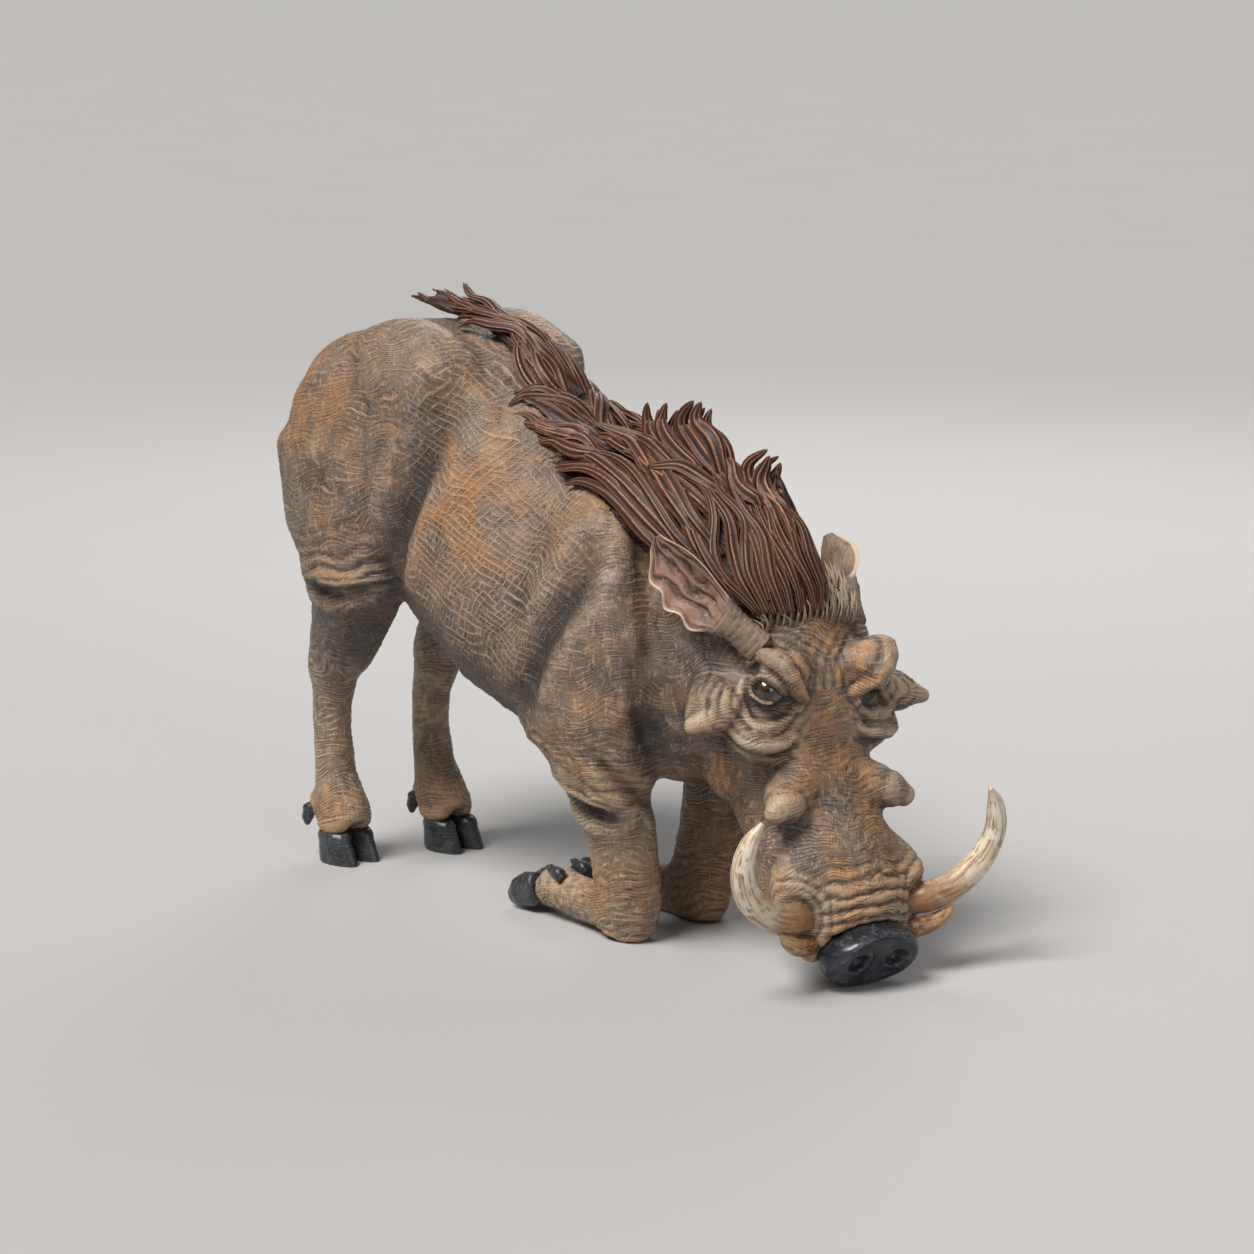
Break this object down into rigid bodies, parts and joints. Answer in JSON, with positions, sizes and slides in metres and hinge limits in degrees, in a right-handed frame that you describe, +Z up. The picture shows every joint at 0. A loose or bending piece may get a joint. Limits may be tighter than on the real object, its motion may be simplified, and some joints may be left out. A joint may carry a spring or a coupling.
{
  "type": "kneeling warthog figurine",
  "caption": "Painted cast figurine of a warthog kneeling on its front joints to root, head low and turned, with curved tusks, face warts, flowing mane and cloven hooves.",
  "frame": {"origin": "middle of the footprint, on the ground the figure kneels on", "axes": "+Z up, the figure looks along -Y with its head turned a little to its right, its left side is +X"},
  "size_m": [0.0612, 0.1702, 0.1225],
  "materials": {
    "hide": "solid cast resin painted grey-brown, dry-brushed tan and ochre on raised wrinkles, matt",
    "mane": "cast resin painted dark brown with copper-brown ridges, satin",
    "ivory": "cast resin painted ivory with brown streaks and a brown root, satin",
    "horn_brown": "cast resin painted brown, satin",
    "hoof_black": "cast resin painted slate black, semi-gloss",
    "eye_glass": "cast resin painted dark brown under gloss varnish"
  },
  "bodies": {
    "root": {"body": "hide", "head": "hide", "ear_left": "hide", "ear_right": "hide", "nose_pad": "hoof_black", "eye_left": "eye_glass", "eye_right": "eye_glass", "upper_tusk_left": "ivory", "upper_tusk_right": "ivory", "lower_tusk_left": "horn_brown", "lower_tusk_right": "horn_brown", "mane_neck": "mane", "mane_back": "mane", "tail": "mane", "hind_hoof_left_inner": "hoof_black", "hind_hoof_left_outer": "hoof_black", "hind_hoof_right_inner": "hoof_black", "hind_hoof_right_outer": "hoof_black", "hind_dewclaw_left_inner": "hoof_black", "hind_dewclaw_left_outer": "hoof_black", "hind_dewclaw_right_inner": "hoof_black", "hind_dewclaw_right_outer": "hoof_black", "fore_hoof_left_inner": "hoof_black", "fore_hoof_left_outer": "hoof_black", "fore_hoof_right_inner": "hoof_black", "fore_hoof_right_outer": "hoof_black", "fore_dewclaw_left_inner": "hoof_black", "fore_dewclaw_left_outer": "hoof_black", "fore_dewclaw_right_inner": "hoof_black", "fore_dewclaw_right_outer": "hoof_black"}
  },
  "joints": []
}
